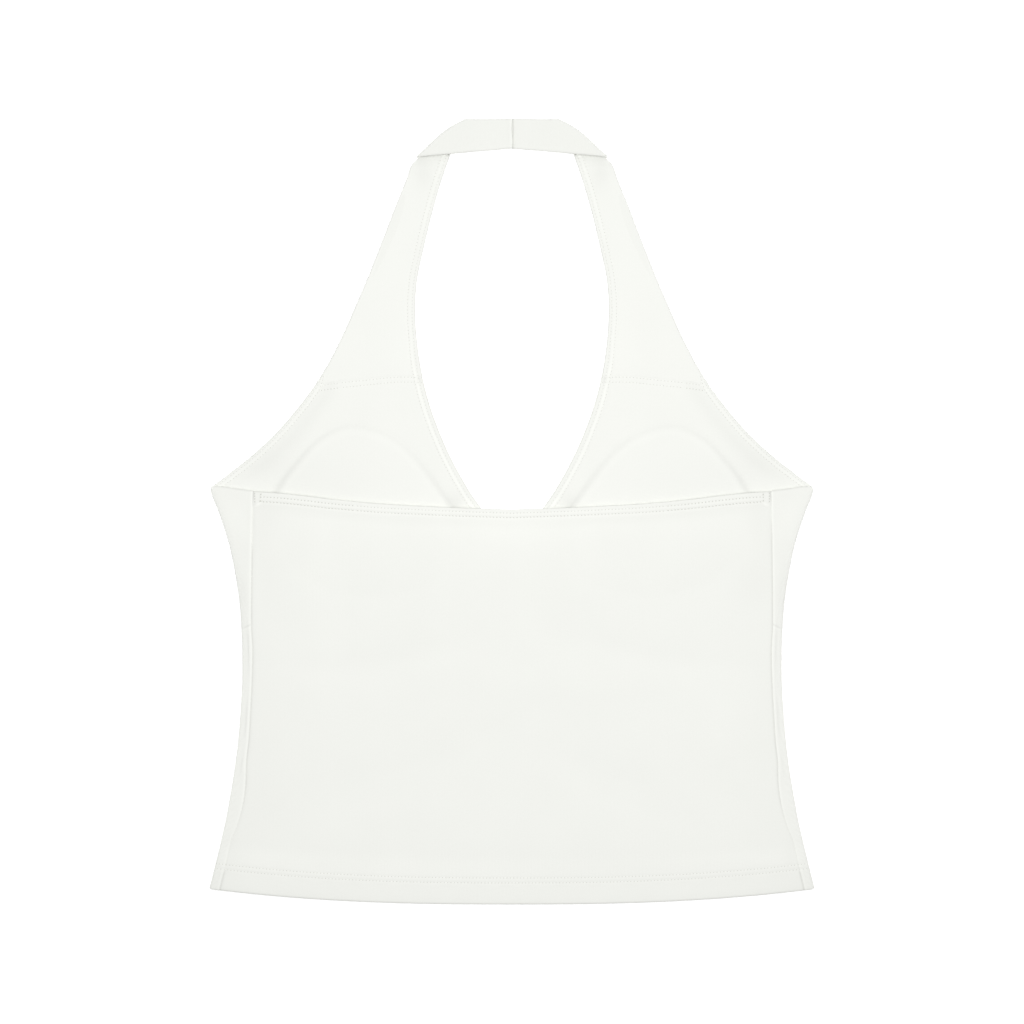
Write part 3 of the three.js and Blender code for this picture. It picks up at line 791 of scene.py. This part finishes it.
def strap_cloth(side, name):
    """A double strap: flat to the shoulder fold, turned over it, and on as half of the band."""
    fold = fold_path()
    # share across, 0 at the neckline and 1 at the outer edge, close together at both
    across = places((0, 0.02, 0.004), (0.02, 0.16, 0.012), (0.16, 0.9, 0.026), (0.9, 1, 0.01))
    radius = STRAP + GAP / 2
    middle = radius - STRAP / 2
    lower = mix(FOLD_CORNER + 37.4, FOLD_CORNER + 0.6, across)
    upper = mix(FOLD_CORNER + 45.4, FOLD_CORNER + 1.4, across)

    def turned(t):
        """The roll over the fold, from the surface at 0 to its top at 1."""
        angle = t * math.pi - math.pi / 2
        fx, fy, out_x, out_y = fold(mix(lower, upper, t))
        # at the strap's outer edge the roll is pressed flat
        reach = (middle * np.cos(angle) - radius) * (1 - 0.8 * ease(0.82, 1, across)) - 0.3
        return fx + out_x * reach, fy + out_y * reach, radius + middle * np.sin(angle)

    low_x, low_y, _ = turned(0)
    end_x = mix(NECKLINE(low_y[0]), ARMHOLE(low_y[-1]), across)
    foot_y = YOKE(mix(NECKLINE(88.7), ARMHOLE(83.1), across))
    t = places((0, 0.06, 0.01), (0.06, 1, 0.0125))[:-1, None]
    inner_y = mix(foot_y[0], low_y[0], t)
    outer_y = mix(foot_y[-1], low_y[-1], t)
    bow = ease(0.75, 1, t)
    x = mix(NECKLINE(inner_y), ARMHOLE(outer_y), across) + (low_x - end_x) * bow
    y = mix(inner_y, outer_y, across) + (low_y - mix(low_y[0], low_y[-1], across)) * bow
    y += (foot_y - mix(foot_y[0], foot_y[-1], across)) * (1 - ease(0, 0.12, t))
    flat = stack(x, y, STRAP / 2)
    roll = stack(*turned(spread(0, 1, 1 / 14)[:, None]))

    t = np.concatenate([spread(0, 0.9, 1 / 32)[1:], spread(0.9, 1, 1 / 120)[1:]])[:, None]
    x = mix(roll[-1, :, 0], 0.0, t)
    y = mix(roll[-1, :, 1], mix(BAND_HEAD, BAND_FOOT, across), t)
    # the seam at the back of the neck, with its turnings to the left
    seam = (0.55 if side < 0 else -0.55) * np.exp(-((x / 2.0) ** 2))
    wave = 0.3 * np.sin(y / 2.6) * np.exp(-((x / 5.0) ** 2))
    over = stack(x - wave * side, y, (STRAP + GAP) * ease(8, 30, x) + (STRAP + seam) / 2)
    points = np.concatenate([flat, roll, over])
    x, y, z = (points[..., k] for k in range(3))
    row = np.arange(len(points))[:, None]
    on_front = row < len(flat)
    band = row >= len(flat) + len(roll)
    neck_far = distance_to(NECK_EDGE, x, y)
    relief = edge_rows(neck_far, *neck_rows(y), 0.8) * on_front * mix(1, 0.5, ease(90, 180, y))
    relief += on_front * groove(distance_to(STRAP_EDGE, x, y), 2.6, 2.0, -0.05)
    relief += patches([STRAP_HOLLOW], x, y) * on_front
    # soft lengthwise waves
    lengthwise = np.sin(across * 5.2 + 0.4)[None, :] * np.sin(y / 46 + 0.6)
    relief += 0.22 * lengthwise * on_front * ease(90, 120, y) * (1 - ease(205, 225, y))
    low_edge = (1 - across)[None, :] * BAND_WIDTH
    relief += band * groove(low_edge, 1.6, 1.2, -0.10)
    # the band's lower edge, which the strap goes under
    band_edge = 230.7 + (61.1 - x) * 0.113
    outer_edge = (1 - across)[None, :] * (ARMHOLE(y) - NECKLINE(y))
    # painted light and shade of the neckline's turned edge, fainter up the strap
    tone = edge_tone(neck_far, *neck_rows(y)) * mix(1, 0.45, ease(90, 180, y))
    # along the middle of the strap its edge lies pressed flatter, and painted shade dims its ridge
    # and rows, with a thin painted highlight further in
    pressed = ease(88, 100, y) * (1 - ease(165, 190, y))
    ridge_shade = groove(neck_far, 3.8, 1.0, 0.034) + groove(neck_far, 2.0, 0.6, 0.020)
    tone += pressed * (ridge_shade + groove(neck_far, 5.3, 0.5, -0.018))
    # painted shade along the outer edge, painted shadow below the band's lower edge, the patches,
    # and painted light above the yoke
    tone += groove(outer_edge, 0, 0.8, 0.06)
    tone += groove(band_edge - y, 0.2, 1.0, 0.16) + patches(STRAP_PATCHES, x, y)
    tone += 0.006 * ease(86, 110, y)
    # the centre seam of the band: a painted highlight on its left and a painted shadow line on its
    # right, with painted shade along the band's edges and faintly over all of it
    centre = groove(x, 0.6, 0.7, -0.06) if side < 0 else groove(x, 0.5, 0.8, 0.24)
    centre += groove(low_edge, 0, 0.8, 0.05) + groove(BAND_WIDTH - low_edge, 0, 0.8, 0.04)
    tone = tone * on_front + (centre - 0.007) * band
    # relief thickens the strap where it lies on the surface, and lifts it in the band
    z = z + relief * mix(1.0, 0.5, on_front)
    thick = STRAP + relief * on_front
    thick[-len(over):] += seam
    uv = stack(x, lengths_along(points[:, 0, :2])[:, None] + 89)
    piece = grid_piece(name, stack(side * x, y, z), uv, thick, "left right", 1.0, tone)
    piece.data.materials.append(jersey)
    piece.data.materials.append(lining_jersey)
    # the facing, below, is cut from the lining's jersey
    for face in piece.data.polygons:
        face.material_index = int(face.center.z < 0.0011 and face.center.y < 0.2245)
    return solid(piece)


# Thread: twin rows of small stitches, each with the needle hole that it comes out of


def row_places(line, pitch, start=0.5):
    """Points and directions every pitch along a polyline of (x, y, z) rows."""
    line = np.array(line, float)
    run = lengths_along(line)
    count = int(run[-1] / pitch)

    def found(at):
        at = np.clip(at, 0, run[-1])
        return np.column_stack([np.interp(at, run, line[:, k]) for k in range(3)])

    at = (np.arange(count) + start) * run[-1] / max(count, 1)
    turn = found(at + 0.6) - found(at - 0.6)
    return found(at), turn / np.linalg.norm(turn, axis=1, keepdims=True)


def stitch_model():
    """One stitch a millimetre long: a round thread, flattened, its ends bent into the cloth."""
    bpy.ops.mesh.primitive_uv_sphere_add(segments=6, ring_count=6, radius=0.5 * MM)
    with editing():
        bpy.ops.transform.rotate(value=math.pi / 2, orient_axis="Y", center_override=(0, 0, 0))
        bpy.ops.transform.resize(value=(1, 0.42, 0.30))
    model = bpy.context.object
    for vertex in model.data.vertices:
        vertex.select = abs(vertex.co.x) > 0.4 * MM
    with editing():
        bpy.ops.transform.translate(value=(0, 0, -0.12 * MM))
    return model


def hole_model():
    """One needle hole a millimetre across: a shallow dish of cloth with six sides."""
    bpy.ops.mesh.primitive_cone_add(
        vertices=6, radius1=0.5 * MM, radius2=0, depth=0.04 * MM, end_fill_type="NOTHING")
    with editing():
        bpy.ops.transform.rotate(value=math.pi, orient_axis="X", center_override=(0, 0, 0))
        bpy.ops.mesh.flip_normals()
    return bpy.context.object


def copies(name, model, matrices):
    """One object of copies of a model, each turned and placed by its own matrix."""
    work = bmesh.new()
    for matrix in matrices:
        one = model.data.copy()
        one.transform(matrix)
        work.from_mesh(one)
        bpy.data.meshes.remove(one)
    mesh = bpy.data.meshes.new(name)
    work.to_mesh(mesh)
    work.free()
    piece = bpy.data.objects.new(name, mesh)
    bpy.context.collection.objects.link(piece)
    return piece


def placed(place, along, across, up, lift):
    """A matrix from the place and the three directions, in millimetres."""
    middle = (np.array(place) + np.array(up) * lift) * MM
    rows = [[along[k], across[k], up[k], middle[k]] for k in range(3)]
    return Matrix(rows + [[0, 0, 0, 1]])


def stitch_matrices(points, turns, length, up):
    # a stitch below is sunk in the cloth, which lies on the surface
    lift = 0.09 if up[2] > 0 else -0.084
    found = []
    for place, along in zip(points, turns):
        across = np.cross(up, along)
        across /= np.linalg.norm(across)
        found.append(placed(place, along * length, across, np.cross(along, across), lift))
    return found


def hole_matrices(points, size, up):
    """The hole's length, its width and its turn in degrees are its size."""
    long, wide, degrees = size
    lean = math.radians(degrees)
    along = np.array([math.cos(lean), math.sin(lean), 0])
    return [placed(p, along * long, np.cross(up, along) * wide, up, 0.03) for p in points]


def offset_line(points, distance):
    """A polyline moved to its left by a distance."""
    turn = np.gradient(points, axis=0)
    turn /= np.linalg.norm(turn, axis=1, keepdims=True)
    return points + distance * np.column_stack([-turn[:, 1], turn[:, 0]])


def settle(line, under, up):
    """The line laid on the first surface met, as (x, y, z) rows, broken where there is none."""
    first = max if up[2] > 0 else min
    laid = []
    for x, y in line:
        hits = [piece.ray_cast((x * MM, y * MM, 0.05 * up[2]), -up) for piece in under]
        heights = [place.z / MM for hit, place, _, _ in hits if hit]
        if heights:
            laid.append((x, y, first(heights)))
    return laid


def thread_rows(name, rows, under, below=False):
    """Every row as stitches and needle holes on the pieces under it, in one object each."""
    depsgraph = bpy.context.evaluated_depsgraph_get()
    under = [piece.evaluated_get(depsgraph) for piece in under]
    up = np.array([0, 0, -1.0 if below else 1.0])
    stitches = []
    holes = []
    for line, pitch, hole in rows:
        covered = 0.5 if hole[0] > LONG_HOLE else 0.74
        laid = settle(line, under, up)
        if len(laid) < 2:
            continue
        points, turns = row_places(laid, pitch)
        stitches += stitch_matrices(points, turns, pitch * covered, up)
        ends, _ = row_places(laid, pitch, 0.0)
        holes += hole_matrices(ends, hole, up)
    found = copies(name, one_stitch, stitches), copies(name + "_holes", one_hole, holes)
    return paint(found[0], thread), paint(found[1], hole_shade)


# Materials


def linear(hex_colour):
    """An sRGB hex colour as the linear RGBA that Blender's sockets take."""
    values = [int(hex_colour[i:i + 2], 16) / 255 for i in (1, 3, 5)]
    return [v / 12.92 if v <= 0.04045 else ((v + 0.055) / 1.055) ** 2.4 for v in values] + [1.0]


def add_node(tree, kind, settings=None, links=None):
    """Adds a node, sets what settings names, and links the inputs that links names."""
    node = tree.nodes.new("ShaderNode" + kind)
    for key, value in (settings or {}).items():
        if isinstance(key, int) or key in node.inputs:
            node.inputs[key].default_value = value
        else:
            setattr(node, key, value)
    for key, source in (links or {}).items():
        tree.links.new(source, node.inputs[key])
    return node


def new_material(name):
    """A material with nodes, its node tree and its shader."""
    material = bpy.data.materials.new(name)
    material.use_nodes = True
    return material, material.node_tree, material.node_tree.nodes["Principled BSDF"]


def set_inputs(node, values):
    for key, value in values.items():
        node.inputs[key].default_value = value


def finish_shader(tree, shader, colour, height, bump):
    """Links the shader's colour from a mix node, and its normal from a bump over height."""
    normal = add_node(tree, "Bump", bump, {"Height": height}).outputs["Normal"]
    tree.links.new(colour.outputs[2], shader.inputs["Base Color"])
    tree.links.new(normal, shader.inputs["Normal"])


def knit_material(name, light, shade, sheen):
    """Fine single jersey: matt yarn in fine wales, with a soft nap that lightens its edges.

    Its UV map is in metres, so the wales, the fuzz of about 1 mm and the patches of a few
    centimetres keep their real sizes on every piece.
    """
    material, tree, shader = new_material(name)
    uv = add_node(tree, "UVMap", {"uv_map": "UVMap"}).outputs["UV"]
    # a wave texture has 20 / (2 pi) bands to a unit at scale 1
    wales = add_node(tree, "TexWave", {
        "wave_type": "BANDS", "bands_direction": "X", "wave_profile": "SIN",
        "Scale": 2 * math.pi / (WALE * MM) / 20, "Distortion": 0.6,
        "Detail": 1.0, "Detail Scale": 2.0}, {"Vector": uv})
    fuzz = add_node(tree, "TexNoise", {"Scale": 900.0, "Detail": 2.0, "Roughness": 0.6},
                    {"Vector": uv})
    clouds = add_node(tree, "TexNoise", {"Scale": 28.0, "Detail": 3.0, "Roughness": 0.5},
                      {"Vector": uv})
    yarn = add_node(tree, "Math", {"operation": "MULTIPLY_ADD", 1: 0.35},
                    {0: wales.outputs["Fac"], 2: fuzz.outputs["Fac"]})
    fine = add_node(tree, "MapRange", {
        "From Min": 0.3, "From Max": 1.1, "To Min": 0.0, "To Max": 0.55},
        {"Value": yarn.outputs[0]})
    both = add_node(tree, "Math", {"operation": "MULTIPLY_ADD", 1: 0.45},
                    {0: clouds.outputs["Fac"], 2: fine.outputs[0]})
    colour = add_node(tree, "Mix", {"data_type": "RGBA", 6: linear(shade), 7: linear(light)},
                      {0: both.outputs[0]})
    # the tone attribute is painted light and shade: the colour is multiplied by one plus the tone
    tone = add_node(tree, "Attribute", {"attribute_name": "tone"})
    factor = add_node(tree, "Math", {"operation": "ADD", 1: 1.0}, {0: tone.outputs["Fac"]})
    toned = add_node(tree, "Mix", {"data_type": "RGBA", "blend_type": "MULTIPLY", 0: 1.0},
                     {6: colour.outputs[2], 7: factor.outputs[0]})
    finish_shader(tree, shader, toned, yarn.outputs[0], {"Strength": 0.25, "Distance": 0.0001})
    set_inputs(shader, {"Roughness": 0.92, "Specular IOR Level": 0.25,
                        "Sheen Weight": sheen, "Sheen Roughness": 0.5})
    return material


def plain_material(name, colour, roughness, scale, depth):
    """A matt surface with a fine grain in its colour and bump."""
    material, tree, shader = new_material(name)
    place = add_node(tree, "TexCoord").outputs["Object"]
    grain = add_node(tree, "TexNoise", {"Scale": scale, "Detail": 2.0},
                     {"Vector": place})
    base = linear(colour)
    darker = [c * 0.93 for c in base[:3]] + [1.0]
    mixed = add_node(tree, "Mix", {"data_type": "RGBA", 6: darker, 7: base},
                     {0: grain.outputs["Fac"]})
    bump = {"Strength": 0.3, "Distance": depth}
    finish_shader(tree, shader, mixed, grain.outputs["Fac"], bump)
    set_inputs(shader, {"Roughness": roughness, "Specular IOR Level": 0.3})
    return material


def paint(piece, material):
    piece.data.materials.clear()
    piece.data.materials.append(material)
    return piece


# Cotton with a little elastane, knitted as fine single jersey, bleached and pressed: a matt
# warm white with faint upright wales, soft patches where the knit is looser, and no gloss.
jersey = knit_material("cotton elastane jersey", "#F7F8F3", "#F1F2ED", 0.10)
# The same yarn in a thinner gauge for the inside, less handled: a shade lighter and smoother.
lining_jersey = knit_material("cotton elastane lining jersey", "#F9FAF5", "#F3F4EF", 0.10)
# Polyurethane foam moulded between two thin tricots: dull and creamy, with a fine open grain.
foam = plain_material("laminated foam", "#F4F2EA", 0.95, 600.0, 0.0002)
# Spun polyester thread: a little smoother and brighter than the knit, so that a row shows as
# small rounded stitches.
thread = plain_material("polyester sewing thread", "#FBFCF7", 0.7, 1500.0, 0.00005)
# Knit drawn in by the needle: the same yarn with the shade that gathers in its dimple.
hole_shade = plain_material("needle hole in jersey", "#DCDDD6", 1.0, 900.0, 0.00005)

# The pieces

back = paint(back_cloth(), jersey)
front_lower = paint(front_lower_cloth(), jersey)
front_bust = paint(front_bust_cloth(), jersey)
lining = paint(bust_lining_cloth(), lining_jersey)
strap_left = strap_cloth(-1, "strap_left_cloth")
strap_right = strap_cloth(1, "strap_right_cloth")
pad_left = paint(cup_foam(-1, "cup_foam_left"), foam)
pad_right = paint(cup_foam(1, "cup_foam_right"), foam)


def hem_row(up):
    x = np.arange(-195.0, 195.1, 1.0)
    return stack(x, hem_line(x) + up)


def top_row(which, first=-100.0, last=100.0):
    x = np.arange(first, last + 0.1, 1.0)
    down = TOP_ROWS[which] + TOP_DROPS[which] * ease(40, 165, abs(x))
    return stack(x, BACK_TOP(abs(x)) - down)


def end_row(side):
    """The short row down the end of the top hem, and the tack beside it."""
    down = np.arange(1.6, 7.9, 0.5)
    across = [(side * 162.9, BACK_TOP(162.0) - d) for d in down]
    down = np.arange(1.2, 8.4, 0.5)
    tack = [(side * (166.6 + 0.15 * (d % 2)), BACK_TOP(167.0) - d) for d in down]
    return [across, tack]


def neck_row(side, which, low=2.0):
    y = np.concatenate([np.arange(low, 30, 1.5), np.arange(30, 233, 2.0)])
    return offset_line(stack(NECKLINE(y), y), -neck_rows(y)[which][:, None]) * (side, 1)


def arm_row(side, inward):
    y = np.arange(18.5, 94.0, 1.5)
    edge = stack(ARMHOLE(y), y)
    row = mix(offset_line(edge, inward), edge, ease(80, 93, y)[:, None] * 0.8)
    return row[row[:, 1] < 91] * (side, 1)


def yoke_row(side, which, first, last):
    x = np.arange(first, last, 1.1)
    return stack(side * x, YOKE(x) - YOKE_ROWS[which])


# Needle holes: length, width and turn in degrees
DOT = (0.6, 0.6, 0)
FAINT_DOT = (0.55, 0.55, 0)
TINY_DOT = (0.42, 0.42, 0)
FIRM_DOT = (0.75, 0.7, 0)
BOLD_DOT = (0.95, 0.85, 0)
SLANT = (1.6, 0.6, -38)
BOLD_SLANT = (2.3, 1.1, -36)
UPRIGHT = (1.4, 1.0, 70)
TIGHT = 1.9  # the closer stitches near the armholes
TACK = 1.6
# Rows: line, length of a stitch, needle hole
hem_lines = [(hem_row(up), STITCH, DOT) for up in HEM_ROWS]
back_rows = hem_lines + [(top_row(0), STITCH, DOT), (top_row(1), STITCH, SLANT)]
for first, last in ((-163.0, -101.0), (101.0, 163.0)):
    back_rows += [
        (top_row(0, first, last), STITCH, BOLD_DOT),
        (top_row(1, first, last), STITCH, BOLD_SLANT),
    ]
bust_rows = []
for side in (-1, 1):
    back_rows += [(line, TACK, UPRIGHT) for line in end_row(side)]
    bust_rows += [
        (neck_row(side, 0), STITCH, TINY_DOT),
        (neck_row(side, 1), STITCH, FAINT_DOT),
        (arm_row(side, ARM_ROWS[0]), STITCH, TINY_DOT),
        (arm_row(side, ARM_ROWS[1]), STITCH, FAINT_DOT),
        (yoke_row(side, 0, 58.6, 112.6), STITCH, FAINT_DOT),
        (yoke_row(side, 1, 58.8, 112.6), STITCH, FAINT_DOT),
        (yoke_row(side, 0, 113.5, 124.2), TIGHT, FAINT_DOT),
        (yoke_row(side, 1, 113.5, 126.5), TIGHT, FIRM_DOT),
    ]

one_stitch = stitch_model()
one_hole = hole_model()
straps = [strap_left, strap_right]
back_thread, back_holes = thread_rows("back_thread", back_rows, [back, front_lower])
bust_thread, bust_holes = thread_rows("bust_thread", bust_rows, [lining, *straps])
under_rows = list(hem_lines)
for side in (-1, 1):
    under_rows += [(neck_row(side, which, -6), STITCH, FAINT_DOT) for which in (0, 1)]
    under_rows += [(arm_row(side, inward), STITCH, FAINT_DOT) for inward in ARM_ROWS]
front_thread, front_holes = thread_rows(
    "front_thread", under_rows, [front_lower, front_bust, *straps], True)
for model in (one_stitch, one_hole):
    bpy.data.objects.remove(model)

# What each piece stands for and rides on

for piece, node, slot in [
    (back, "back_panel", "outer_knit"),
    (front_lower, "front_lower", "outer_knit"),
    (front_bust, "front_bust", "outer_knit"),
    (lining, "bust_lining", "lining_knit"),
    (strap_left, "strap_left", "outer_knit"),
    (strap_right, "strap_right", "outer_knit"),
    (pad_left, "cup_pad_left", "pad_foam"),
    (pad_right, "cup_pad_right", "pad_foam"),
]:
    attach(piece, "root")
    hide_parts(node)
for piece in (back_thread, bust_thread, front_thread, back_holes, bust_holes, front_holes):
    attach(piece, "root")

# The pale surface it lies on, the light and the camera

bpy.ops.mesh.primitive_plane_add(size=6, location=(0, 0, -0.0002))
table_top = bpy.context.object
table_top.name = "table_top"
# Melamine laminate pressed on board, lit until it clips: an even white with soft shadows only.
white, _, laminate = new_material("white laminate")
set_inputs(laminate, {"Base Color": linear("#FDFDFD"), "Roughness": 0.9,
                      "Emission Color": (1, 1, 1, 1), "Emission Strength": 0.25})
paint(table_top, white)

# An even white world light

world = bpy.data.worlds.new("studio")
bpy.context.scene.world = world
world.use_nodes = True
set_inputs(world.node_tree.nodes["Background"], {"Color": (1, 1, 1, 1), "Strength": 0.31})


def soft_box(name, place, size, power):
    light = bpy.data.lights.new(name, "AREA")
    light.shape = "SQUARE"
    light.size = size
    light.energy = power
    lamp = bpy.data.objects.new(name, light)
    lamp.location = place
    lamp.rotation_euler = (Vector((0, 0, 0)) - Vector(place)).to_track_quat("-Z", "Y").to_euler()
    bpy.context.collection.objects.link(lamp)
    return lamp


soft_box("overhead", (0.03, 0.05, 1.4), 1.0, 14.7)
soft_box("from_neck", (0.3, 3.0, 1.6), 0.9, 14)

LENS = 100.0
SENSOR = 36.0
FRAME_WIDTH = 0.6656  # metres across the picture, 0.65 mm a pixel
camera_data = bpy.data.cameras.new("camera")
camera_data.lens = LENS
camera_data.sensor_width = SENSOR
camera = bpy.data.objects.new("camera", camera_data)
camera.location = (0, 0, FRAME_WIDTH * LENS / SENSOR)
camera.rotation_euler = (0, 0, 0)
bpy.context.collection.objects.link(camera)
bpy.context.scene.camera = camera

bpy.context.scene.view_settings.view_transform = "Standard"
bpy.context.scene.view_settings.look = "None"
